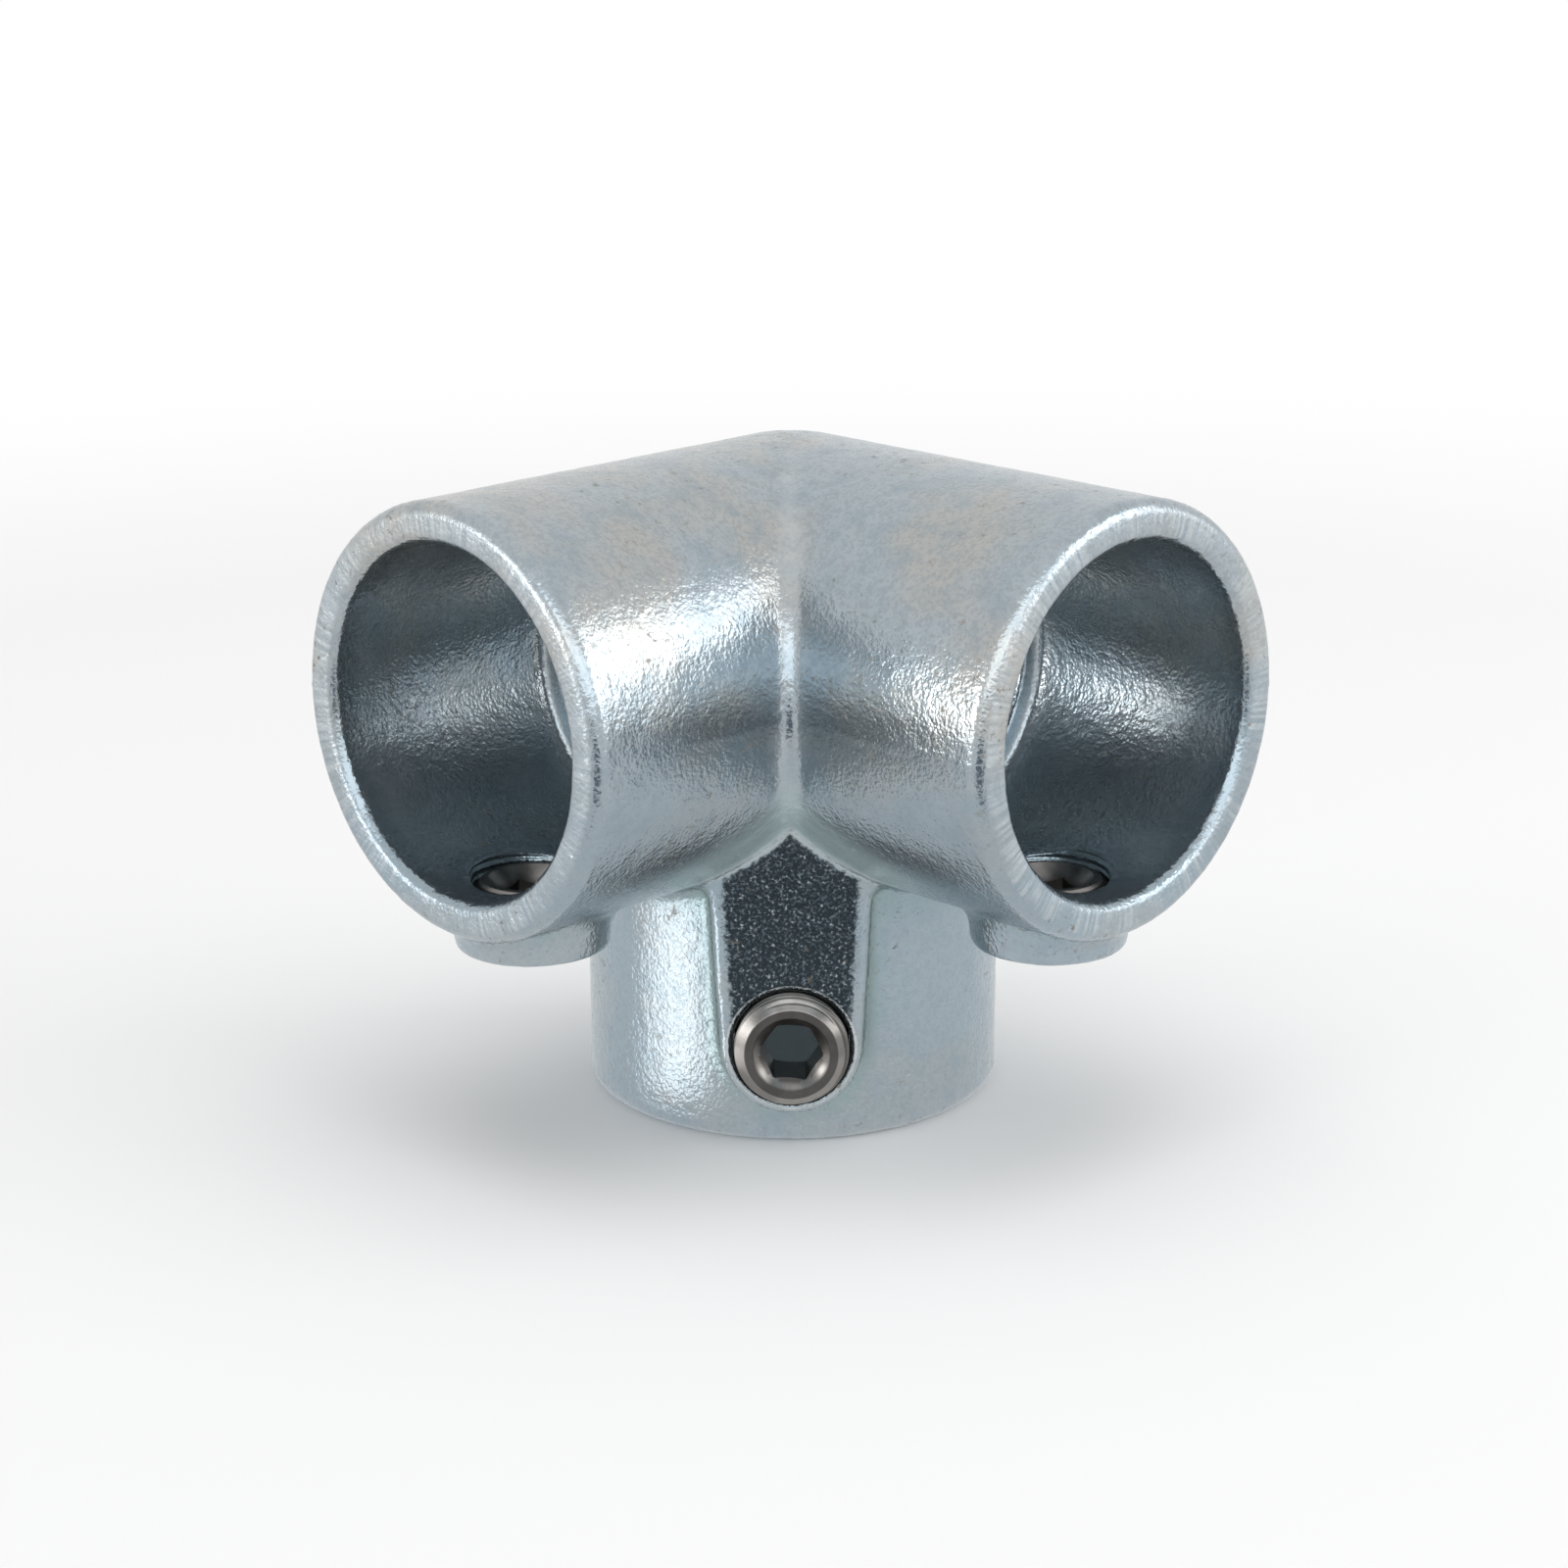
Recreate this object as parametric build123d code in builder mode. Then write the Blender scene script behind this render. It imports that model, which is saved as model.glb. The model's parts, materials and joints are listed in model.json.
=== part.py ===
"""Corner fitting for round tube: two level sockets at a right angle and one socket down.

One iron casting, with a hex-socket set screw in the wall of each socket to hold its tube.
Millimetres, +Z up. The origin is the centre of the downward socket's mouth. The right-hand
level socket opens towards +X, the left-hand one towards -Y, and the three axes cross above
the origin.
"""
import os
from dataclasses import dataclass

from build123d import *

# The tube, and the sockets that take it
tube_radius = 24.15
tube_clearance = 0.85
socket_wall = 6.0
stop_distance = 27.0  # from the crossing of the axes to the shoulder that stops a tube
stop_height = 3.0  # how far the shoulder stands in from the bore
rail_depth = 39.6  # from the shoulder to the mouth of a level socket
post_depth = 41.0  # from the shoulder down to the mouth of the post's socket

# The pads that the set screws are tapped through
pad_rise = 4.2  # how far a pad's face stands off its barrel
rail_boss_radius = 11.2
rail_boss_land = 3.8  # from a boss to its mouth
post_pad_radius = 10.4  # round end of the post's long pad, about its screw
post_pad_land = 6.0  # from that end to the mouth
post_pad_flare = 2.8  # how much wider that pad would be at the crossing
boss_draft = 5.0  # degrees

# Edges as they leave the mould, and as they are ground
inside_fillet = 2.2
pad_edge = 1.3
mouth_round = 2.4
bore_bevel = 1.1

# Set screws, with a 3/8 inch pipe thread that is drawn plain here
screw_radius = 8.28
screw_fit = 0.05  # radial room in the tapped hole
hole_bevel = 0.5
screw_length = 10.0
tip_clearance = 0.1  # how far a screw's tip lies behind the bore's wall at rest
post_screw_backed_off = 2.6  # the post's screw stands further out than the other two
face_radius = 6.7  # flat ring round the hex socket
face_bevel = 1.2  # height of the bevel from that ring to the thread
tip_radius = 7.0
tip_bevel = 1.2
hex_across = 8.0
hex_countersink = 5.6
cup_radius = 6.2
bevel_angle = 90  # across the mouth of a bevelled hole

# For telling edges and faces apart
close_enough = 0.001
probe_step = 0.05  # off an edge, to see whether iron or air lies there
smooth_cosine = 0.999  # of the angle between two faces that run on smoothly

bore_radius = tube_radius + tube_clearance
barrel_radius = bore_radius + socket_wall
core_radius = bore_radius - stop_height
pad_height = barrel_radius + pad_rise  # from a socket's axis to its pad's face
hole_radius = screw_radius + screw_fit
rail_reach = stop_distance + rail_depth  # from the crossing to a level socket's mouth
post_reach = stop_distance + post_depth
rail_screw_distance = rail_reach - rail_boss_land - rail_boss_radius
post_screw_distance = post_reach - post_pad_land - post_pad_radius
crossing = Vector(0, 0, post_reach)


@dataclass
class Socket:
    """A socket: its plane at the crossing, and how far from there its mouth and its screw lie.

    The plane's z points out of the mouth, and its x away from the screw.
    """

    plane: Plane
    reach: float
    screw_distance: float

    @property
    def mouth(self):
        """The plane of the socket's mouth."""
        return self.plane.offset(self.reach)

    def across_screw(self, height):
        """The plane centred on the screw, at a height off the tube's axis, with x towards the mouth."""
        towards_screw = -self.plane.x_dir
        centre = crossing + self.plane.z_dir * self.screw_distance + towards_screw * height
        return Plane(centre, x_dir=self.plane.z_dir, z_dir=towards_screw)


post = Socket(Plane(crossing, x_dir=(-1, 1, 0), z_dir=(0, 0, -1)), post_reach, post_screw_distance)
right = Socket(Plane(crossing, x_dir=(0, 0, 1), z_dir=(1, 0, 0)), rail_reach, rail_screw_distance)
left = Socket(Plane(crossing, x_dir=(0, 0, 1), z_dir=(0, -1, 0)), rail_reach, rail_screw_distance)
sockets = [post, right, left]

# How far each screw is backed off from the bore, and the angle at which its hexagon came to rest
screws = {
    "post_set_screw": (post, post_screw_backed_off, 26),
    "right_set_screw": (right, 0, 12),
    "left_set_screw": (left, 0, 47),
}


def outer_corner(radius, mode):
    """The ball-shaped corner behind the crossing that joins the two level sockets."""
    with Locations(crossing):
        Sphere(radius, arc_size1=0, arc_size3=90, rotation=(0, 0, 90), align=None, mode=mode)


def is_pad_face(face):
    """True for the three flat faces that the screws go through."""
    heights = (s.across_screw(pad_height).to_local_coords(face.center()).Z for s in sockets)
    return face.geom_type == GeomType.PLANE and any(abs(height) < close_enough for height in heights)


def folds_inwards(edge):
    """True for an edge where two outside faces meet in a hollow, as where two barrels cross."""
    faces = [face for face in casting.faces() if any(edge.is_same(e) for e in face.edges())]
    if len(faces) < 2:
        return False
    one, other = (face.normal_at(edge @ 0.5) for face in faces)
    if one.dot(other) > smooth_cosine:
        return False
    return casting.part.is_inside(edge @ 0.5 + (one - other).normalized() * probe_step)


def ring(centre, radius):
    """The casting's circular edges of one radius about one point."""
    circles = casting.edges().filter_by(GeomType.CIRCLE)
    circles = circles.filter_by(lambda edge: abs(edge.radius - radius) < close_enough)
    return circles.filter_by(lambda edge: (edge.arc_center - centre).length < close_enough)


with BuildPart() as casting:
    # Three barrels that meet at the crossing
    for socket in sockets:
        with BuildSketch(socket.plane):
            Circle(barrel_radius)
        extrude(amount=socket.reach)
    outer_corner(barrel_radius, Mode.ADD)

    # A drafted round boss under each level socket
    for socket in (right, left):
        with BuildSketch(socket.across_screw(pad_height)):
            Circle(rail_boss_radius)
        extrude(amount=-socket_wall - pad_rise, taper=-boss_draft)

    # A long flat pad down the front of the post's socket, from under the level ones to its screw
    with BuildSketch(post.across_screw(pad_height)):
        Circle(post_pad_radius)
        with Locations((-post_screw_distance, 0)):
            Circle(post_pad_radius + post_pad_flare)
        make_hull()
    extrude(amount=-pad_height)

    # Moulded edges: the pads' rims, then every hollow corner, then the mouths
    pad_edges = ShapeList(e for face in casting.faces().filter_by(is_pad_face) for e in face.edges())
    fillet(pad_edges.filter_by(folds_inwards, reverse=True), pad_edge)
    fillet(casting.edges().filter_by(folds_inwards), inside_fillet)
    for socket in sockets:
        fillet(ring(socket.mouth.origin, barrel_radius), mouth_round)

    # Bores, with a shoulder that stops each tube, and the cored middle
    for socket in sockets:
        with BuildSketch(socket.plane.offset(stop_distance)):
            Circle(bore_radius)
        extrude(amount=socket.reach - stop_distance, mode=Mode.SUBTRACT)
        with BuildSketch(socket.plane):
            Circle(core_radius)
        extrude(amount=stop_distance, mode=Mode.SUBTRACT)
    outer_corner(core_radius, Mode.SUBTRACT)
    for socket in sockets:
        chamfer(ring(socket.mouth.origin, bore_radius), bore_bevel)

    # A tapped hole through each pad, bevelled at the pad's face
    for socket in sockets:
        with Locations(socket.across_screw(pad_height)):
            CounterSinkHole(hole_radius, hole_radius + hole_bevel, pad_height, bevel_angle)

casting.part.label = "casting"
os.makedirs("parts", exist_ok=True)
export_step(casting.part, "parts/casting.step")

for name, (socket, backed_off, hex_angle) in screws.items():
    tip_height = bore_radius + tip_clearance + backed_off
    tip = socket.across_screw(tip_height)
    head = tip.offset(screw_length)
    with BuildPart() as set_screw:
        # Turned body: flat ring and bevel at the head, bevelled tip
        with BuildSketch(Plane(tip.origin, x_dir=tip.x_dir, z_dir=-tip.y_dir)):
            with BuildLine():
                Polyline(
                    (0, 0),
                    (tip_radius, 0),
                    (screw_radius, tip_bevel),
                    (screw_radius, screw_length - face_bevel),
                    (face_radius, screw_length),
                    (0, screw_length),
                    close=True,
                )
            make_face()
        revolve(axis=Axis(tip.origin, tip.z_dir))

        # Hexagon right through, countersunk for the key and cupped to bite at the tip
        with Locations(head):
            CounterSinkHole(hex_across / 2, hex_countersink, screw_length, bevel_angle)
        with Locations(-tip):
            CounterSinkHole(hex_across / 2, cup_radius, screw_length, bevel_angle)
        with BuildSketch(tip):
            RegularPolygon(hex_across / 2, 6, major_radius=False, rotation=hex_angle)
        extrude(amount=screw_length, mode=Mode.SUBTRACT)
    set_screw.part.label = name
    export_step(set_screw.part, f"parts/{name}.step")
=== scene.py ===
"""Corner fitting for round tube: a hot-dip galvanised iron casting and its three set screws."""
import json
import math

import bmesh
import bpy
import numpy as np
from mathutils import Matrix, Vector


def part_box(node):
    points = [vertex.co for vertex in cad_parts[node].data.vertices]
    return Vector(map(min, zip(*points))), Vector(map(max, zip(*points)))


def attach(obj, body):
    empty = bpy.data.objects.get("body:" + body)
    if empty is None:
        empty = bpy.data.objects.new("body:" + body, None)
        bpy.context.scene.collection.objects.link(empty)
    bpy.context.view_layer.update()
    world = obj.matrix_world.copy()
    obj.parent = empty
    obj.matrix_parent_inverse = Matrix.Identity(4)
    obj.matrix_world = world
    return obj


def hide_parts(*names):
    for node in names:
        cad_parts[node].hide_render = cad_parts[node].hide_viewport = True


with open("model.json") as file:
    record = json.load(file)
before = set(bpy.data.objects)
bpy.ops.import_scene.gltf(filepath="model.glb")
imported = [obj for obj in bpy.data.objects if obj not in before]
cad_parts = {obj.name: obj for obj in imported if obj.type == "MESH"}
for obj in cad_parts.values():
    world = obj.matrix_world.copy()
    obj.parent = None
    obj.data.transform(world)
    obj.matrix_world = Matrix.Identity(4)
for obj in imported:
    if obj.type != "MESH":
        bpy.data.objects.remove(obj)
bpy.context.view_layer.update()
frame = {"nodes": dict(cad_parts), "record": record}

# ---------------------------------------------------------------------------------------------
# The casting. One malleable iron casting, dipped in molten zinc, with a bored socket for each
# tube and a tapped pad for each set screw. Its skin has the orange peel of dipped zinc, and a
# faint raised line round the level barrels shows where the two halves of the mould met.

MM = 0.001
cast_low, cast_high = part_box("casting")
barrel_radius = -cast_low.x
crossing = Vector((0, 0, cast_high.z - barrel_radius))
bore_radius = frame["record"]["mounts"][0]["dims"]["r_mm"] * MM
core_radius = bore_radius - 3 * MM
mouth_reach = cast_high.x
mouth_round = 2.4 * MM
pad_rise = 4.2 * MM
pad_reach = barrel_radius + pad_rise

skin_voxel = 0.5 * MM
weld_distance = 0.001 * MM
square_on = 0.985  # the cosine within which a point's normal runs along its radius
exact_within = 0.08 * MM
soften_rounds = 6
seam_fade_rounds = 2
skin_triangles = 150_000

skin_sink = 0.14 * MM  # keeps the raised grain inside the solid's own size
grain_size = 1.7 * MM
grain_depth = 0.075 * MM
swell_size = 8 * MM
swell_depth = 0.05 * MM
seam_height = 0.12 * MM
seam_width = 0.45 * MM


class Wire:
    """A node's socket that Python expressions can use: each operator adds its Math node."""

    def __init__(self, tree, socket=None):
        self.tree = tree
        self.socket = socket

    def node(self, kind, settings=None, sockets=None, output=0):
        """Adds any node: its settings first, then the values or links of its sockets."""
        made = self.tree.nodes.new(kind)
        for name, value in (settings or {}).items():
            setattr(made, name, value)
        for name, value in (sockets or {}).items():
            if isinstance(value, Wire):
                self.tree.links.new(value.socket, made.inputs[name])
            else:
                made.inputs[name].default_value = value
        return Wire(self.tree, made.outputs[output] if made.outputs else None)

    def math(self, operation, *others):
        sockets = dict(enumerate((self, *others)))
        return self.node("ShaderNodeMath", {"operation": operation}, sockets)

    def vector(self, operation, *others, output="Vector"):
        sockets = dict(enumerate((self, *others)))
        return self.node("ShaderNodeVectorMath", {"operation": operation}, sockets, output)

    def along(self, way):
        """How far a place lies along a way from the origin."""
        return self.vector("DOT_PRODUCT", tuple(way), output="Value")

    def ramp(self, low, high):
        """0 up to low and 1 from high on, with a smooth rise between."""
        settings = {"interpolation_type": "SMOOTHSTEP"}
        return self.node("ShaderNodeMapRange", settings, {0: self, 1: low, 2: high})

    def axis(self, letter):
        return self.node("ShaderNodeSeparateXYZ", {}, {0: self}, letter)

    def noise(self, size, detail=2.0, roughness=0.5, seed=0.0):
        """Smooth noise from 0 to 1, with features of one size. The seed moves it along."""
        place = self.vector("ADD", (seed, seed, seed))
        sockets = {"Vector": place, "Scale": 1 / size, "Detail": detail, "Roughness": roughness}
        return self.node("ShaderNodeTexNoise", {}, sockets)

    def __add__(self, other):
        return self.math("ADD", other)

    def __sub__(self, other):
        return self.math("SUBTRACT", other)

    def __rsub__(self, other):
        return self.math("MULTIPLY_ADD", -1, other)

    def __mul__(self, other):
        return self.math("MULTIPLY", other)

    def __truediv__(self, other):
        return self.math("DIVIDE", other)

    def __rtruediv__(self, other):
        return self.math("POWER", -1) * other

    def __abs__(self):
        return self.math("ABSOLUTE")

    __radd__ = __add__
    __rmul__ = __mul__


def new_tree(name, sizes):
    """A geometry tree with named number inputs. Returns it, and all its inputs as wires."""
    tree = bpy.data.node_groups.new(name, "GeometryNodeTree")
    tree.interface.new_socket("Geometry", in_out="INPUT", socket_type="NodeSocketGeometry")
    for size in sizes:
        tree.interface.new_socket(size, in_out="INPUT", socket_type="NodeSocketFloat")
    tree.interface.new_socket("Material", in_out="INPUT", socket_type="NodeSocketMaterial")
    tree.interface.new_socket("Geometry", in_out="OUTPUT", socket_type="NodeSocketGeometry")
    entry = tree.nodes.new("NodeGroupInput")
    return tree, [Wire(tree, socket) for socket in entry.outputs[:-1]]


def end_tree(geometry, material):
    """Ends a geometry tree: real geometry, in its material."""
    real = geometry.node("GeometryNodeRealizeInstances", {}, {"Geometry": geometry})
    dressed = real.node("GeometryNodeSetMaterial", {}, {"Geometry": real, "Material": material})
    way_out = real.tree.nodes.new("NodeGroupOutput")
    real.tree.links.new(dressed.socket, way_out.inputs[0])


def settle(piece):
    """Makes a piece's modifiers into its plain mesh."""
    bpy.context.view_layer.update()
    shaped = piece.evaluated_get(bpy.context.evaluated_depsgraph_get())
    mesh = bpy.data.meshes.new_from_object(shaped)
    piece.modifiers.clear()
    piece.data = mesh


def shaped_by(piece, tree, values):
    """Runs a geometry tree on a piece and leaves the result as its plain mesh."""
    modifier = piece.modifiers.new(tree.name, "NODES")
    modifier.node_group = tree
    for item in tree.interface.items_tree:
        if item.in_out == "INPUT" and item.name in values:
            modifier[item.identifier] = values[item.name]
    settle(piece)


def new_piece(name, mesh):
    piece = bpy.data.objects.new(name, mesh)
    bpy.context.collection.objects.link(piece)
    return piece


def merged_copy(node, name):
    """A copy of a solid's mesh with its loose triangles joined."""
    mesh = bpy.data.meshes.new(name)
    work = bmesh.new()
    work.from_mesh(frame["nodes"][node].data)
    bmesh.ops.remove_doubles(work, verts=work.verts, dist=weld_distance)
    work.to_mesh(mesh)
    work.free()
    return new_piece(name, mesh)


def points_of(mesh):
    points = np.empty(len(mesh.vertices) * 3, dtype=np.float32)
    mesh.vertices.foreach_get("co", points)
    return points.reshape(-1, 3).astype(np.float64)


def normals_of(mesh):
    normals = np.empty(len(mesh.vertices) * 3, dtype=np.float32)
    mesh.vertex_normals.foreach_get("vector", normals)
    return normals.reshape(-1, 3)


def move_points(mesh, points):
    mesh.vertices.foreach_set("co", points.astype(np.float32).ravel())
    mesh.update()


def neighbour_mean(mesh, values, rounds):
    """Each vertex's value, spread over its neighbours a number of times."""
    edges = np.empty(len(mesh.edges) * 2, dtype=np.int32)
    mesh.edges.foreach_get("vertices", edges)
    ends = np.concatenate([edges[0::2], edges[1::2]])
    others = np.concatenate([edges[1::2], edges[0::2]])
    count = np.bincount(ends, minlength=len(mesh.vertices))
    for _ in range(rounds):
        sums = [np.bincount(ends, column[others], len(mesh.vertices)) for column in values.T]
        values = 0.5 * values + 0.5 * np.stack(sums, axis=1) / count[:, None]
    return values


def store(mesh, name, values):
    layer = mesh.attributes.new(name, "FLOAT", "POINT")
    layer.data.foreach_set("value", np.ascontiguousarray(values, dtype=np.float32))


def new_material(name):
    """A material with an empty shader tree, and a wire to start it from."""
    material = bpy.data.materials.new(name)
    material.use_nodes = True
    material.node_tree.nodes.clear()
    return material, Wire(material.node_tree)


galvanised, zinc = new_material("hot-dip galvanised iron")
casting = merged_copy("casting", "galvanised_casting")
remesh = casting.modifiers.new("even skin", "REMESH")
remesh.mode = "VOXEL"
remesh.voxel_size = skin_voxel
settle(casting)

# The skin's points go back onto the true round surfaces: the barrels, bores and core round each
# socket's axis, the ball of the outer corner, and the rounded lips of the mouths
mouths = (
    (np.array((0, 0, -1)), crossing.z),
    (np.array((1, 0, 0)), mouth_reach),
    (np.array((0, -1, 0)), mouth_reach),
)
points = points_of(casting.data)
normals = normals_of(casting.data)
offsets = points - np.array(crossing)
from_axes = [offsets - (offsets @ forward)[:, None] * forward for forward, _ in mouths]
from_centre = offsets
on_round = np.zeros(len(points), dtype=bool)
on_barrels = np.zeros(len(points), dtype=bool)
for apart in (*from_axes, from_centre):
    distance = np.linalg.norm(apart, axis=1)
    straight = np.abs(np.einsum("ij,ij->i", apart, normals)) > square_on * distance
    for radius in (barrel_radius, bore_radius, core_radius):
        near = straight & ~on_round & (np.abs(distance - radius) < exact_within)
        points[near] += apart[near] * (radius / distance[near] - 1)[:, None]
        on_round |= near
        if radius == barrel_radius:
            on_barrels |= near
for (forward, reach), apart in zip(mouths, from_axes):
    distance = np.linalg.norm(apart, axis=1)
    past_wall = distance - (barrel_radius - mouth_round)
    past_lip = offsets @ forward - (reach - mouth_round)
    past = np.stack([past_wall, past_lip], axis=1)
    depth = np.linalg.norm(past, axis=1)
    near = (past.min(axis=1) > 0) & (np.abs(depth - mouth_round) < 2 * exact_within)
    outward = apart[near] / distance[near][:, None]
    shift = past[near] * (mouth_round / depth[near] - 1)[:, None]
    points[near] += outward * shift[:, :1] + forward * shift[:, 1:]
    on_round |= near
    on_barrels |= near

# The blends between the round surfaces are softened
soft = neighbour_mean(casting.data, points, soften_rounds)
points[~on_round] = soft[~on_round]
barrel_skin = neighbour_mean(casting.data, on_barrels[:, None].astype(float), seam_fade_rounds)
move_points(casting.data, points)
store(casting.data, "barrel skin", barrel_skin[:, 0])

skin_inputs = {
    "Sink": skin_sink,
    "Grain Size": grain_size,
    "Grain Depth": grain_depth,
    "Swell Size": swell_size,
    "Swell Depth": swell_depth,
    "Seam Level": crossing.z,
    "Seam Height": seam_height,
    "Seam Width": seam_width,
}
skin_tree, wires = new_tree("zinc skin", skin_inputs)
geometry, sink, grain, grain_deep, swell, swell_deep, level, seam_proud, seam_wide, finish = wires
place = geometry.node("GeometryNodeInputPosition")
normal = geometry.node("GeometryNodeInputNormal")
on_barrel = geometry.node(
    "GeometryNodeInputNamedAttribute", {"data_type": "FLOAT"}, {"Name": "barrel skin"}
)
orange_peel = (place.noise(grain, detail=1.5) - 0.5) * 2 * grain_deep
heave = (place.noise(swell, seed=0.5) - 0.5) * 2 * swell_deep
waver = (place.noise(swell, detail=0.0, seed=0.2) - 0.5) * seam_wide
seam = (1 - abs(place.axis("Z") - level + waver).ramp(0.0, seam_wide)) * seam_proud * on_barrel
rise = (orange_peel + heave + seam - sink).math("MINIMUM", 0.0)
offset = normal.node("ShaderNodeVectorMath", {"operation": "SCALE"}, {0: normal, "Scale": rise})
moved = geometry.node("GeometryNodeSetPosition", {}, {"Geometry": geometry, "Offset": offset})
end_tree(moved, finish)

shaped_by(casting, skin_tree, skin_inputs | {"Material": galvanised})
thin = casting.modifiers.new("fewer flat triangles", "DECIMATE")
thin.ratio = skin_triangles / (2 * len(casting.data.polygons))
settle(casting)

# Each pad is tapped with a fine pipe thread, the same as its screw's. The holes' grooves lie
# outside the screws' crests, so a screw can slide in its hole. Each hole's lip is flared.
thread_pitch = 1.337 * MM
rows_per_turn = 8
hole_crest = 8.37 * MM
hole_root = 8.82 * MM
hole_lip_radius = 9.25 * MM
hole_sides = 72
cut_start = bore_radius - 2 * MM
cut_end = barrel_radius + 7 * MM
cut_length = cut_end - cut_start

thread_tree, wires = new_tree("helical thread", ["Pitch", "Outer Radius", "Inner Radius"])
geometry, pitch, outer, inner, finish = wires
place = geometry.node("GeometryNodeInputPosition")
from_axis = place.vector("MULTIPLY", (1, 1, 0)).vector("LENGTH", output="Value")
from_axis = from_axis.math("MAXIMUM", 0.0001 * MM)  # so that nothing is divided by zero
turn = place.axis("Y").math("ARCTAN2", place.axis("X")) / math.tau
groove = 0.5 - 0.5 * (math.tau * (place.axis("Z") / pitch - turn)).math("COSINE")
slim = from_axis.math("MINIMUM", outer - (outer - inner) * groove) / from_axis
slimming = slim.node("ShaderNodeCombineXYZ", {}, {0: slim, 1: slim, 2: 1.0})
sockets = {"Geometry": geometry, "Position": place.vector("MULTIPLY", slimming)}
end_tree(geometry.node("GeometryNodeSetPosition", {}, sockets), finish)


def lathe(name, rows, sides, closed):
    """A mesh from rows of (radius, height) pairs round the Z axis. A radius may be an array."""
    angles = np.arange(sides) * math.tau / sides
    rings = [
        np.stack([radius * np.cos(angles), radius * np.sin(angles), height + 0 * angles], axis=1)
        for radius, height in rows
    ]
    faces = []
    for row in range(len(rows) if closed else len(rows) - 1):
        lower, upper = row * sides, (row + 1) % len(rows) * sides
        for step in range(sides):
            ahead = (step + 1) % sides
            faces.append((lower + step, lower + ahead, upper + ahead, upper + step))
    if not closed:
        faces.append(tuple(reversed(range(sides))))
        faces.append(tuple(range((len(rows) - 1) * sides, len(rows) * sides)))
    mesh = bpy.data.meshes.new(name)
    mesh.from_pydata(np.concatenate(rings).tolist(), [], faces)
    return new_piece(name, mesh)


def threaded(piece, outer_radius, inner_radius, material):
    values = {"Pitch": thread_pitch, "Outer Radius": outer_radius, "Inner Radius": inner_radius}
    shaped_by(piece, thread_tree, values | {"Material": material})


def stand(outward, along, foot):
    """The matrix that stands a lathed piece on a foot, its Z outward and its X along."""
    side = outward.cross(along)
    return Matrix.Translation(foot) @ Matrix((along, side, outward)).transposed().to_4x4()


# Each pad's screw points one way out of its pad, and its mouth lies another way
pads = {
    "post": (Vector((1, -1, 0)).normalized(), Vector((0, 0, -1))),
    "right": (Vector((0, 0, -1)), Vector((1, 0, 0))),
    "left": (Vector((0, 0, -1)), Vector((0, -1, 0))),
}
screw_centres = {name: sum(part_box(f"{name}_set_screw"), Vector()) / 2 for name in pads}

cutters = bmesh.new()
for name, (outward, along) in pads.items():
    steps = int(cut_length / (thread_pitch / rows_per_turn))
    rows = [(hole_root, height) for height in np.linspace(0, cut_length, steps)]
    tap = lathe(f"{name} tap", rows, hole_sides, closed=False)
    threaded(tap, hole_root, hole_crest, galvanised)
    points = points_of(tap.data)
    radii = np.hypot(points[:, 0], points[:, 1])
    flare = hole_lip_radius + points[:, 2] + cut_start - pad_reach
    wider = (radii > 0.5 * hole_crest) & (flare > radii)
    points[wider, :2] *= (flare[wider] / radii[wider])[:, None]
    move_points(tap.data, points)
    centre = screw_centres[name]
    on_tube_axis = centre - outward * (centre - crossing).dot(outward)
    tap.data.transform(stand(outward, along, on_tube_axis + outward * cut_start))
    cutters.from_mesh(tap.data)
    bpy.data.objects.remove(tap)
tap_mesh = bpy.data.meshes.new("taps")
cutters.to_mesh(tap_mesh)
cutters.free()
tapping = new_piece("taps", tap_mesh)
drill = casting.modifiers.new("tapped holes", "BOOLEAN")
drill.operation = "DIFFERENCE"
drill.solver = "MANIFOLD"
drill.object = tapping
settle(casting)
bpy.data.objects.remove(tapping)

# Where the skin is hollow or stands proud, for the stains, the painted highlight in the upper
# hollows and the rubbed edges
full_bend = 0.02 * MM
bend_rounds = 8
points = points_of(casting.data)
pull = neighbour_mean(casting.data, points, 1) - points
bend = np.einsum("ij,ij->i", pull, normals_of(casting.data))
bend = neighbour_mean(casting.data, bend[:, None], bend_rounds)[:, 0] / full_bend
store(casting.data, "hollow", np.clip(bend, 0, 1))
store(casting.data, "proud", np.clip(-bend, 0, 1))
casting.data.shade_smooth()

# Zinc over iron: mid grey with cool, warm and green clouds, rust-brown pits and a peel that glints.
# Over these lie painted shade, painted highlights, a painted light and the pad's painted dark
# reflection
cool_zinc = (0.375, 0.43, 0.465, 1)
warm_zinc = (0.425, 0.43, 0.415, 1)
green_zinc = (0.30, 0.41, 0.42, 1)
# painted light, pale green
painted_lift_green = (0.46, 0.58, 0.59, 1)
# painted shade low down
painted_low_shade = (0.30, 0.39, 0.45, 1)
# a dull tone for the mottle, and for the painted dark band round the middle
dull_zinc_and_painted_band = (0.255, 0.32, 0.365, 1)
# bright zinc for worn and dressed places, and for painted highlights
bright_zinc_and_highlight = (0.62, 0.655, 0.67, 1)
# painted shade in the peel's dips
dip_shade_zinc = (0.24, 0.275, 0.30, 1)
foot_zinc = (0.22, 0.29, 0.295, 1)
# the pad's painted dark reflection, with the next
painted_dark_reflection = (0.028, 0.040, 0.048, 1)
painted_grey_reflection = (0.13, 0.165, 0.19, 1)
rust_brown = (0.25, 0.225, 0.19, 1)

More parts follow.
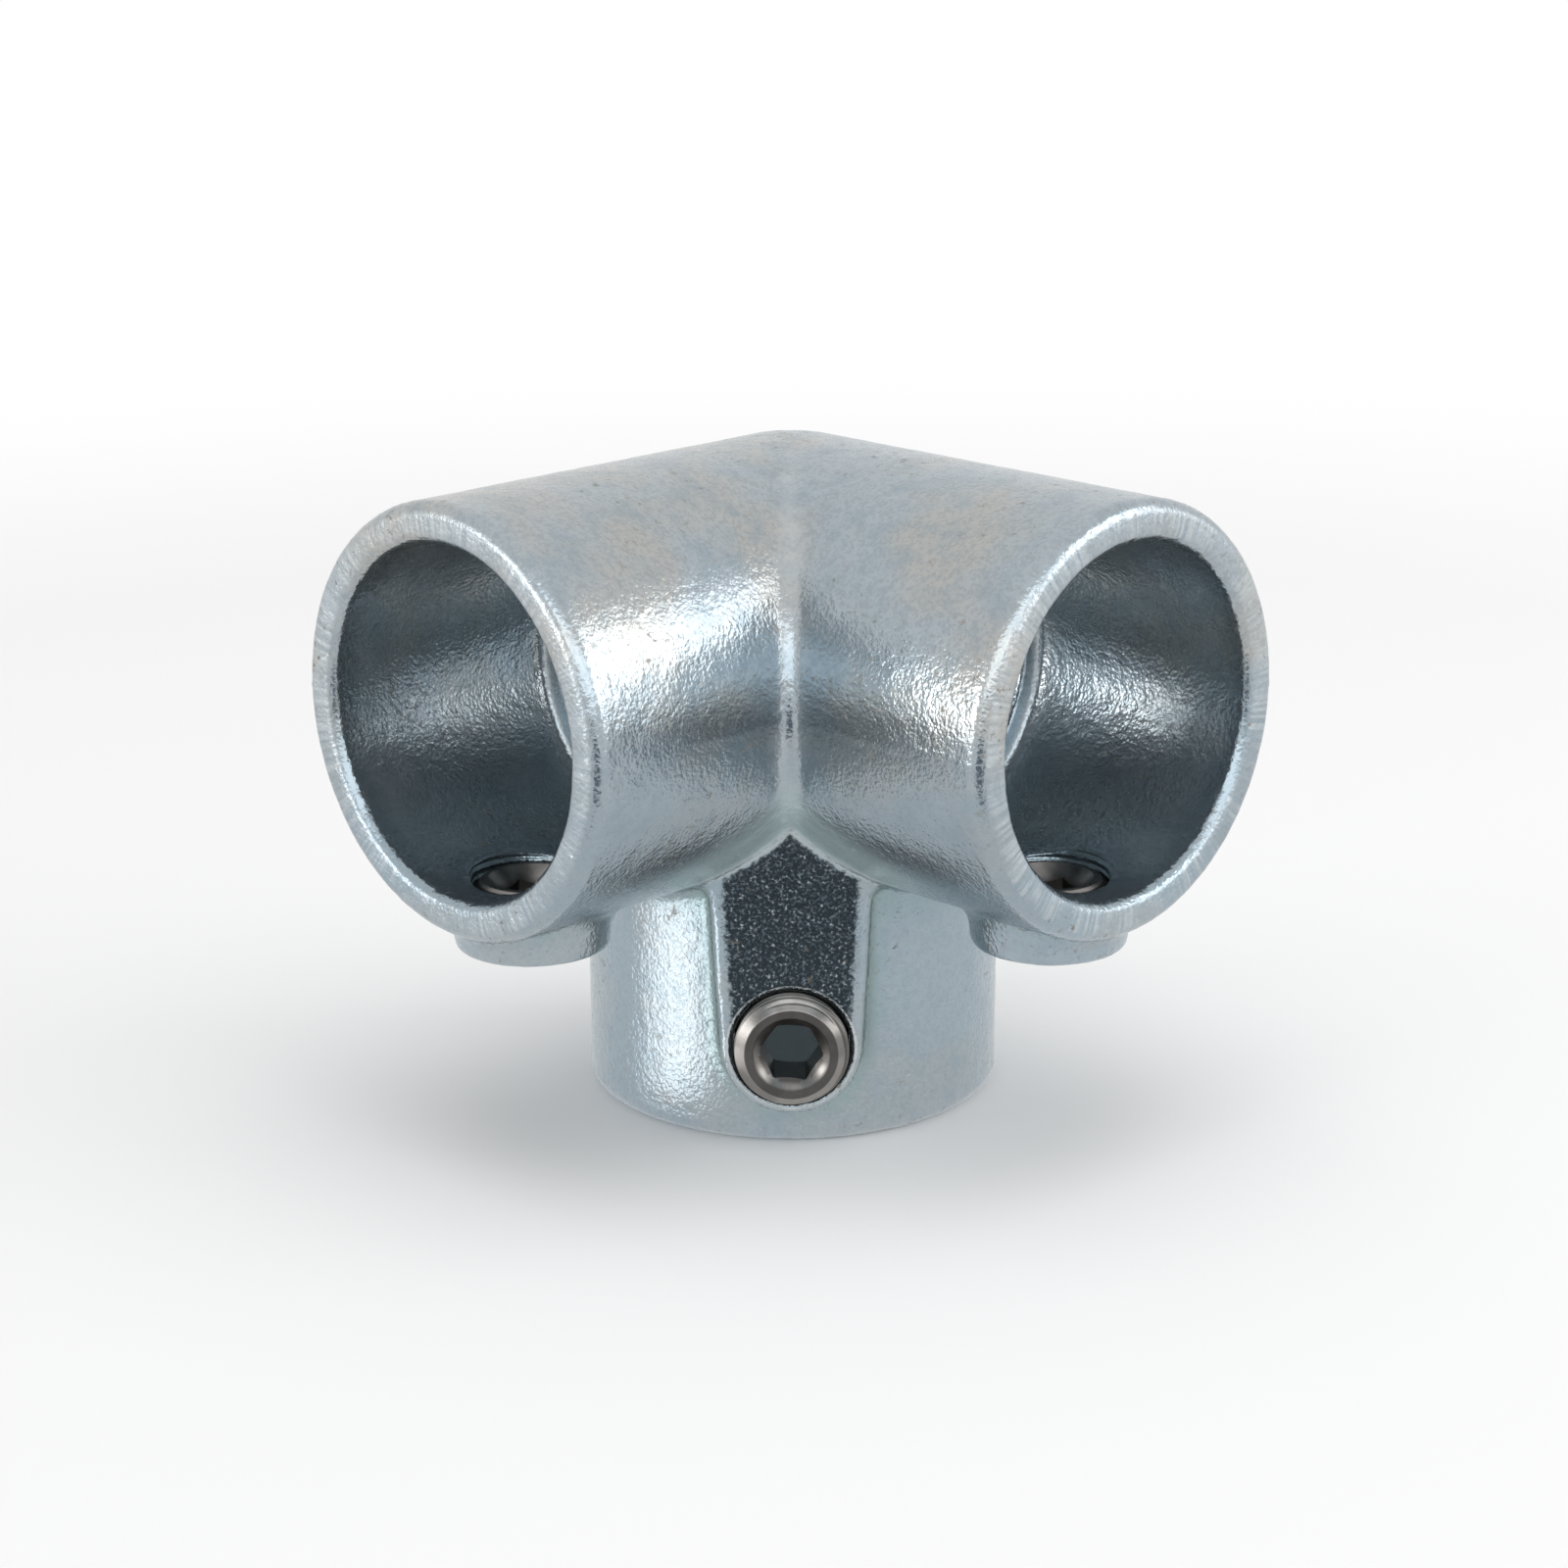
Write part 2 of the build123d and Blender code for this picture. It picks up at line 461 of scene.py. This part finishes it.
cloud_size = 22 * MM
mottle_size = 5 * MM
ripple_size = 1.3 * MM
peel_size = 0.55 * MM
speck_size = 0.45 * MM
fine_size = 0.3 * MM
pit_size = 1.5 * MM
pit_patch_size = 16 * MM
fray_size = 0.8 * MM
fray_depth = 2.0 * MM
streak_size = 0.022  # on the unit circle round a mouth

peel_relief = 0.08 * MM
ripple_relief = 0.06 * MM
fine_relief = 0.01 * MM
grit_relief = 0.09 * MM
streak_relief = 0.03 * MM

# The post's pad and the skin round it. Each pair is where a mask begins and is complete
pad_radius = 10.4 * MM
pad_spread = 0.054  # the pad's half width gained for each length above the hole
face_skin = (0.26 * MM, 0.42 * MM)  # behind the pad's face
pad_sides = (14 * MM, 15 * MM)  # from the pad's middle line
pad_border = (1.7 * MM, 2.5 * MM)  # in from the pad's sides and foot
roof_border = (0.5 * MM, 1.3 * MM)  # under the roof, as are the next two
roof_edge_top = (-1.0 * MM, -0.8 * MM)
roof_edge_foot = (0.3 * MM, 1.0 * MM)
lip_inner = (9.05 * MM, 9.2 * MM)  # from the hole's axis, as is the next
lip_outer = (9.35 * MM, 9.6 * MM)
side_top = (0.4 * MM, 1.0 * MM)  # behind the pad's face, as is the next
side_foot = (6 * MM, 7.2 * MM)
side_upper_end = (-1.0 * MM, 1.0 * MM)  # under the roof
side_lower_end = (-8 * MM, 0.0)  # above the hole
blend_top = (-11 * MM, -4 * MM)  # under the roof, as is the next
blend_foot = (-0.4 * MM, 0.2 * MM)
blend_sides = (12 * MM, 26 * MM)  # from the pad's middle line
blend_front = (21 * MM, 28 * MM)  # from the post's axis

# Heights on the casting, for the lower part with its painted shade and for the painted dark band
# round the middle, and the depth of the mouths' end faces
post_top = (36 * MM, 56 * MM)
painted_band_foot = (38 * MM, 44 * MM)
painted_band_top = (56 * MM, 76 * MM)
end_face_depth = (0.3 * MM, 0.5 * MM)


def mixed(mask, one, other):
    """A colour that goes from one to the other as the mask goes from 0 to 1."""
    return mask.node("ShaderNodeMix", {"data_type": "RGBA"}, {0: mask, 6: one, 7: other}, 2)


def attribute(wire, name):
    return wire.node("ShaderNodeAttribute", {"attribute_name": name}, output="Fac")


place = zinc.node("ShaderNodeTexCoord", output="Object")
height = place.axis("Z")
low_down = 1 - height.ramp(*post_top)
hollow = attribute(zinc, "hollow")
proud = attribute(zinc, "proud")

# The post's pad: its flat is painted nearly black with pale specks, a painted dark reflection with
# painted glints, and its bump is grittier than the barrels'
pad_way = pads["post"][0]
facing = place.along(pad_way)
across = abs(place.along(pad_way.cross(Vector((0, 0, 1)))))
behind_face = pad_reach - facing
half_width = (pad_reach - across) / math.sqrt(2)
roof = crossing.z - (barrel_radius**2 - half_width * half_width).math("SQRT")
under_roof = roof - height
above_hole = height - screw_centres["post"].z
below_hole = above_hole.math("MINIMUM", 0.0)
pad_width = pad_radius + above_hole.math("MAXIMUM", 0.0) * pad_spread
inside_pad = pad_width - (across * across + below_hole * below_hole).math("SQRT")
from_hole = (across * across + above_hole * above_hole).math("SQRT")
fray = (place.noise(fray_size, seed=2.2) - 0.5) * fray_depth
on_pad = (1 - behind_face.ramp(*face_skin)) * (1 - across.ramp(*pad_sides))
pad_flat = on_pad * (inside_pad + fray).ramp(*pad_border) * (under_roof + fray).ramp(*roof_border)
# A painted highlight along the pad's roof edge
painted_roof_highlight = on_pad * under_roof.ramp(*roof_edge_top) * (1 - under_roof.ramp(*roof_edge_foot))
# A painted highlight round the hole's flared lip
painted_lip_highlight = on_pad * from_hole.ramp(*lip_inner) * (1 - from_hole.ramp(*lip_outer))
pad_side = behind_face.ramp(*side_top) * (1 - behind_face.ramp(*side_foot))
pad_side = pad_side * under_roof.ramp(*side_upper_end) * above_hole.ramp(*side_lower_end)
# Painted light in pale green over the shade under the barrels, above the pad
painted_light_over_roof = under_roof.ramp(*blend_top) * (1 - under_roof.ramp(*blend_foot))
painted_light_over_roof = painted_light_over_roof * (1 - across.ramp(*blend_sides)) * facing.ramp(*blend_front)

# The level mouths' end faces, dressed to a bright band with marks that run outwards
to_right_face = mouth_reach - place.axis("X")
to_left_face = mouth_reach + place.axis("Y")
end_face = 1 - to_right_face.math("MINIMUM", to_left_face).ramp(*end_face_depth)
on_right = to_right_face.math("LESS_THAN", to_left_face)
from_crossing = place.vector("SUBTRACT", tuple(crossing))
round_right, round_left = (
    from_crossing.vector("MULTIPLY", flat).vector("NORMALIZE") for flat in ((0, 1, 1), (1, 0, 1))
)
right_streaks = round_right.noise(streak_size, detail=1.0)
left_streaks = round_left.noise(streak_size, detail=1.0)
streaks = right_streaks * on_right + left_streaks * (1 - on_right)

cloud = place.noise(cloud_size, detail=3.0)
mottle = place.noise(mottle_size, detail=3.0, seed=0.3)
ripple = place.noise(ripple_size, detail=1.0, seed=0.9)
peel = place.noise(peel_size, detail=1.0, seed=0.2)
speck = place.noise(speck_size, detail=1.0, seed=0.7)
fine = place.noise(fine_size, detail=1.0, seed=1.4)
# Painted shade: the peel's dips are painted darker
peel_dip_shade = 1 - (peel * 0.6 + ripple * 0.4).ramp(0.35, 0.6)
# Painted dark reflection: a dull band round the middle height
painted_dark_band = (1 - height.ramp(*painted_band_top)) * height.ramp(*painted_band_foot)
pit_patches = place.noise(pit_patch_size, seed=2.6).ramp(0.45, 0.6) + proud * 0.7
pits = place.noise(pit_size, detail=3.0, roughness=0.65, seed=1.9).ramp(0.60, 0.70) * pit_patches
# The pad's painted dark reflection, with painted glints in pale specks
painted_pad_reflection = mixed(speck.ramp(0.46, 0.74), painted_dark_reflection, painted_grey_reflection)
painted_pad_reflection = mixed(speck.ramp(0.68, 0.76) * 0.6, painted_pad_reflection, bright_zinc_and_highlight)

# Each layer's mask, how strongly it covers what is under it, and its colour
tone = mixed(cloud.ramp(0.42, 0.60), cool_zinc, warm_zinc)
for mask, strength, colour in (
    # painted shade: the peel's dips darker
    (peel_dip_shade, 0.45, dip_shade_zinc),
    (mottle.ramp(0.45, 0.75), 0.5, dull_zinc_and_painted_band),
    # painted dark reflection: a dull band round the middle height
    (painted_dark_band, 0.65, dull_zinc_and_painted_band),
    # painted shade: darker and bluer towards the bottom
    (low_down, 0.5, painted_low_shade),
    (hollow * low_down, 0.8, green_zinc),
    # painted highlight in the hollows higher up
    (hollow * (1 - low_down), 0.45, bright_zinc_and_highlight),
    (proud, 0.1, bright_zinc_and_highlight),
    # painted light: pale green over the shade under the barrels, above the pad
    (painted_light_over_roof, 0.75, painted_lift_green),
    (pad_side, 0.9, foot_zinc),
    (end_face * streaks.ramp(0.35, 0.65) * mottle.ramp(0.35, 0.65), 0.5, bright_zinc_and_highlight),
    # the pad's flat: painted dark reflection with painted glints
    (pad_flat, 1.0, painted_pad_reflection),
    # painted highlight along the pad's roof edge
    (painted_roof_highlight, 0.3, bright_zinc_and_highlight),
    # painted highlight on the hole's lip
    (painted_lip_highlight, 0.7, bright_zinc_and_highlight),
    (pits, 0.5, rust_brown),
):
    tone = mixed(mask * strength, tone, colour)

relief = (peel * peel_relief + ripple * ripple_relief) * (1 + low_down * 0.5)
relief = relief + fine * (pad_flat * grit_relief + fine_relief) + streaks * end_face * streak_relief
surface = zinc.node(
    "ShaderNodeBsdfPrincipled",
    {},
    {
        "Base Color": tone,
        "Metallic": 0.9 - hollow * 0.25 - painted_light_over_roof * 0.6,
        "Roughness": 0.17 + mottle * 0.12 + pits * 0.3 + end_face * 0.15,
        "Normal": zinc.node("ShaderNodeBump", {}, {"Distance": 1.0, "Height": relief}),
    },
)
zinc.node("ShaderNodeOutputMaterial", {}, {"Surface": surface})

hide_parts("casting")
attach(casting, "fitting")

# ---------------------------------------------------------------------------------------------
# The set screws. Each is turned from steel bar, threaded from end to end and plated, with a
# broached hexagon right through it, a countersink for the key and a cup that bites on the tube.

screw_length = 10 * MM
screw_crest = 8.28 * MM
screw_root = 7.5 * MM
face_radius = 6.7 * MM
face_bevel = 1.2 * MM
tip_radius = 7.0 * MM
tip_bevel = 1.2 * MM
key_flat = 4.0 * MM  # from the axis to each flat of the hexagon
key_corner = 4.56 * MM  # to its slightly rounded corners
key_countersink = 5.6 * MM
cup_radius = 6.2 * MM
edge_round = 0.14 * MM
row_step = 0.11 * MM
screw_sides = 144
hexagon_turned = {"post": 26, "right": 12, "left": 47}  # degrees from the way to the mouth
sharp_edge = math.radians(38)

worn_steel = (0.22, 0.21, 0.20, 1)
clean_steel = (0.31, 0.295, 0.28, 1)
# dirt in the thread, and painted shade and painted dark reflection on the rest of the screw
grime_and_shade_colour = (0.045, 0.042, 0.040, 1)
steel_cloud_size = 3 * MM
scratch_size = 0.35 * MM
scratch_relief = 0.006 * MM


def rounded(corners, rounding):
    """A polyline of (radius, height) corners with its inner corners cut to a small arc."""
    path = [Vector(corners[0])]
    for before, corner, after in zip(corners, corners[1:], corners[2:]):
        corner = Vector(corner)
        back = (Vector(before) - corner).normalized() * rounding
        forth = (Vector(after) - corner).normalized() * rounding
        for t in (0, 0.25, 0.5, 0.75, 1):
            path.append(corner + back * (1 - t) ** 2 + forth * t**2)
    path.append(Vector(corners[-1]))
    return path


def hexagon(turned):
    """The hexagon's radius at each angle round a screw."""
    angles = np.arange(screw_sides) * math.tau / screw_sides - math.radians(turned)
    from_flat = angles % (math.pi / 3) - math.pi / 6
    return np.minimum(key_flat / np.cos(from_flat), key_corner)


def threaded_screw(name, turned):
    """A screw with its tip's centre at the origin and its head up, as one closed skin."""
    outline = rounded(
        [
            (cup_radius, 0),
            (tip_radius, 0),
            (screw_crest, tip_bevel),
            (screw_crest, screw_length - face_bevel),
            (face_radius, screw_length),
            (key_countersink, screw_length),
        ],
        edge_round,
    )
    rows = []
    for start, end in zip(outline, outline[1:]):
        steep = abs(end.y - start.y) > edge_round
        count = max(1, round((end - start).length / row_step)) if steep else 1
        rows += [tuple(start.lerp(end, step / count)) for step in range(count)]
    rows.append(tuple(outline[-1]))

    # Down the countersink, through the hexagon and out along the cup, with rows close to each edge
    key = hexagon(turned)
    rim_height = screw_length - (key_countersink - key)
    foot_height = cup_radius - key
    for start, end, shares in (
        ((key_countersink, screw_length), (key, rim_height), (0.03, 0.25, 0.5, 0.75, 0.97, 1)),
        ((key, rim_height), (key, foot_height), (0.02, 0.25, 0.5, 0.75, 0.98, 1)),
        ((key, foot_height), (cup_radius, 0), (0.03, 0.35, 0.7, 0.97)),
    ):
        rows += [tuple(a + (b - a) * share for a, b in zip(start, end)) for share in shares]
    screw = lathe(name, rows, screw_sides, closed=True)
    threaded(screw, screw_crest, screw_root, plated)
    return screw


def grime_and_shade_of(screw):
    """How dark each point of a screw is painted: dirt in the thread, and painted shade and painted
    dark reflection on the rest. The thread's grooves most, and the bevels least.
    """
    points = points_of(screw.data)
    radii = np.hypot(points[:, 0], points[:, 1])
    up = points[:, 2]
    groove = np.clip((screw_crest - radii) / (screw_crest - screw_root), 0, 1)
    side = (radii > screw_root - 0.01 * MM) & (up < screw_length - face_bevel + 0.1 * MM)
    on_face = (radii < face_radius + 0.02 * MM) & (radii > key_countersink - 0.06 * MM)
    face = on_face & (up > screw_length - 0.06 * MM)
    inside = radii < key_corner + 0.02 * MM
    return np.select([side, face, inside], [0.35 + 0.6 * groove, 0.8, 0.7], 0.15)


plated, steel = new_material("plated steel")
place = steel.node("ShaderNodeTexCoord", output="Object")
grime_and_shade = attribute(steel, "grime_and_shade")
cloud = place.noise(steel_cloud_size, detail=3.0)
scratches = place.noise(scratch_size, seed=0.4) * scratch_relief
tone = mixed(cloud.ramp(0.35, 0.65), worn_steel, clean_steel)
# Dirt in the thread, and painted shade and painted dark reflection elsewhere, darken the steel
tone = mixed(grime_and_shade, tone, grime_and_shade_colour)
surface = steel.node(
    "ShaderNodeBsdfPrincipled",
    {},
    {
        "Base Color": tone,
        "Metallic": 1.0,
        "Roughness": 0.2 + cloud * 0.12 + grime_and_shade * 0.2,
        "Normal": steel.node("ShaderNodeBump", {}, {"Distance": 1.0, "Height": scratches}),
    },
)
steel.node("ShaderNodeOutputMaterial", {}, {"Surface": surface})

for name, (outward, along) in pads.items():
    screw = threaded_screw(f"{name}_screw", hexagon_turned[name])
    store(screw.data, "grime_and_shade", grime_and_shade_of(screw))
    screw.data.transform(stand(outward, along, screw_centres[name] - outward * screw_length / 2))
    screw.data.shade_smooth()
    screw.data.set_sharp_from_angle(angle=sharp_edge)
    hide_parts(f"{name}_set_screw")
    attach(screw, f"{name}_screw")

# ---------------------------------------------------------------------------------------------
# The floor. A plain pale sheet that fades into the white background some way from the fitting,
# and shows pale in reflections too. Near the fitting it keeps the shadow.

floor_reach = 3.0
fade_out = (0.16, 0.6)
foot_shade = (0.05, 0.14)
glow_seen = 0.35
glow_in_gloss = 0.74
pale_paper = (0.93, 0.93, 0.93, 1)
white = (1, 1, 1, 1)


def sheet(name, corners, material):
    """A flat piece of staging with one face."""
    mesh = bpy.data.meshes.new(name)
    mesh.from_pydata(corners, [], [(0, 1, 2, 3)])
    mesh.materials.append(material)
    return new_piece(name, mesh)


paper, pale = new_material("pale paper")
from_foot = pale.node("ShaderNodeTexCoord", output="Object").vector("LENGTH", output="Value")
matt = pale.node("ShaderNodeBsdfDiffuse", {}, {"Color": pale_paper})
glow = pale.node("ShaderNodeEmission", {}, {"Color": white, "Strength": 1.0})
seen = pale.node("ShaderNodeLightPath", output="Is Camera Ray")
in_gloss = pale.node("ShaderNodeLightPath", output="Is Glossy Ray")
near_glow = in_gloss * glow_in_gloss + seen * from_foot.ramp(*foot_shade) * glow_seen
share = from_foot.ramp(*fade_out).math("MAXIMUM", near_glow)
shown = pale.node("ShaderNodeMixShader", {}, {0: share, 1: matt, 2: glow})
pale.node("ShaderNodeOutputMaterial", {}, {"Surface": shown})
corners = [(x * floor_reach, y * floor_reach, 0) for x, y in ((-1, -1), (1, -1), (1, 1), (-1, 1))]
floor = sheet("floor", corners, paper)

# ---------------------------------------------------------------------------------------------
# The light. A pale room, a soft box on each side and one above. A large front box, a small low
# panel under the left socket and a dark card on the floor are there for the metal to reflect.

room_strength = 0.60

room = bpy.data.worlds.new("pale room")
bpy.context.scene.world = room
room.use_nodes = True
room.node_tree.nodes.clear()
air = Wire(room.node_tree)
seen, in_gloss, through = (
    air.node("ShaderNodeLightPath", output=f"Is {kind} Ray")
    for kind in ("Camera", "Glossy", "Transmission")
)
shows = (seen + in_gloss + through).math("MINIMUM", 1.0)
bright = air.node("ShaderNodeBackground", {}, {"Color": white, "Strength": 1.0})
soft_light = air.node("ShaderNodeBackground", {}, {"Color": white, "Strength": room_strength})
shown = air.node("ShaderNodeMixShader", {}, {0: shows, 1: soft_light, 2: bright})
air.node("ShaderNodeOutputWorld", {}, {"Surface": shown})


def way(azimuth, elevation):
    """The way from the fitting to a lamp or the camera. Azimuth 0 is from -Y, and 90 from +X."""
    a, e = math.radians(azimuth), math.radians(elevation)
    return Vector((math.sin(a) * math.cos(e), -math.cos(a) * math.cos(e), math.sin(e)))


def flat_lamp(name, place, back, across, power):
    """A flat lamp at a place, with its back turned one way and its light the other."""
    light = bpy.data.lights.new(name, "AREA")
    light.shape = "RECTANGLE"
    light.size, light.size_y = across
    light.energy = power
    lamp = bpy.data.objects.new(name, light)
    bpy.context.collection.objects.link(lamp)
    lamp.location = place
    lamp.rotation_mode = "QUATERNION"
    lamp.rotation_quaternion = back.to_track_quat("Z", "Y")
    lamp.visible_camera = False
    return lamp


def soft_box(name, azimuth, elevation, distance, across, power):
    back = way(azimuth, elevation)
    return flat_lamp(name, crossing + back * distance, back, across, power)


soft_box("left soft box", -24, 7, 1.1, (0.46, 0.34), 2.8)
soft_box("right soft box", 124, 22, 1.1, (0.85, 0.66), 4.6)
top = soft_box("top soft box", 40, 80, 1.2, (0.9, 0.9), 4.5)
top.visible_glossy = False
front = soft_box("front soft box", 50, 30, 1.1, (1.5, 0.75), 4.8)
front.data.color = (0.88, 0.95, 1.0)
front.visible_diffuse = False

# The low panel shines up at the downward barrel's skin beside the pad, from close by
skin_beside_pad = way(12, 0) * barrel_radius + Vector((0, 0, 22 * MM))
panel_way = way(-22, -19)
panel_distance = 22 * MM
panel_size = (26 * MM, 34 * MM)
panel_place = skin_beside_pad + panel_way * panel_distance
low_panel = flat_lamp("low panel", panel_place, panel_way, panel_size, 0.0005)
low_panel.data.spread = math.radians(50)
low_panel.visible_diffuse = False

# The dark card lies just off the floor. Its corners are given by azimuth and distance
card_corners = ((26, 0.2), (64, 0.2), (60, 0.75), (30, 0.75))
card_lift = Vector((0, 0, 1 * MM))
dark_blue = (0.02, 0.06, 0.12, 1)
felt, nap = new_material("dark felt")
dark = nap.node("ShaderNodeEmission", {}, {"Color": dark_blue, "Strength": 1.0})
nap.node("ShaderNodeOutputMaterial", {}, {"Surface": dark})
corners = [way(azimuth, 0) * distance + card_lift for azimuth, distance in card_corners]
card = sheet("dark card", corners, felt)
card.visible_camera = False
card.visible_diffuse = False
card.visible_shadow = False

# ---------------------------------------------------------------------------------------------
# The camera. It faces the inner corner between the two level sockets from a little above them,
# through a long lens, and is aimed just over the tip of the post's pad.

camera_azimuth = 45.505
camera_elevation = 16.722
camera_roll = math.radians(-0.313)
camera_distance = 547.4 * MM
aim_height = 69.1 * MM  # on the post's axis
aim_right = -1.05 * MM  # from there along the camera's own right, and its own up
aim_up = -22.6 * MM

sensor_width = 36
focal_length = 84.69

lens = bpy.data.cameras.new("camera")
lens.sensor_width = sensor_width
lens.lens = focal_length
camera = bpy.data.objects.new("camera", lens)
bpy.context.collection.objects.link(camera)
back = way(camera_azimuth, camera_elevation)
level_right = way(camera_azimuth + 90, 0)
level_up = back.cross(level_right)
right = level_right * math.cos(camera_roll) + level_up * math.sin(camera_roll)
up = level_up * math.cos(camera_roll) - level_right * math.sin(camera_roll)
level_with = Vector((0, 0, aim_height)) + back * camera_distance
camera.location = level_with + right * aim_right + up * aim_up
camera.rotation_mode = "QUATERNION"
camera.rotation_quaternion = Matrix((right, up, back)).transposed().to_quaternion()
bpy.context.scene.camera = camera
bpy.context.scene.view_settings.view_transform = "Standard"
